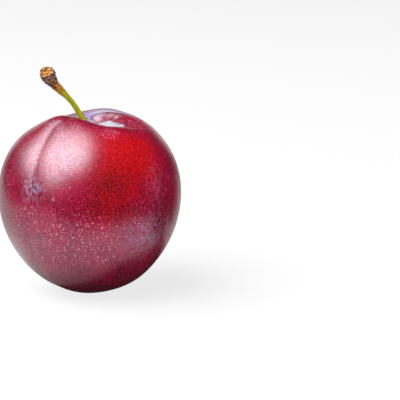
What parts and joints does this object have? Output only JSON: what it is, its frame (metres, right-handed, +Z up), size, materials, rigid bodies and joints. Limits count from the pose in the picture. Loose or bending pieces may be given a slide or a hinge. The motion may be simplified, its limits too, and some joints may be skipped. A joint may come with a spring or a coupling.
{
  "type": "plum",
  "caption": "Round red plum with a shallow suture, a stalk cavity and its short knobbed stalk, resting on a small flat spot.",
  "frame": {"origin": "middle of the fruit's footprint, on the plane that it rests on", "axes": "+Z up from the blossom end to the stalk end, -Y towards the front, +X to the right"},
  "size_m": [0.056, 0.0552, 0.0704],
  "materials": {
    "plum_skin": "smooth waxy skin with a faint pale bloom",
    "stalk_bark": "matt green stalk with a brown woody knob"
  },
  "bodies": {
    "root": {"fruit": "plum_skin", "stalk": "stalk_bark"}
  },
  "joints": []
}
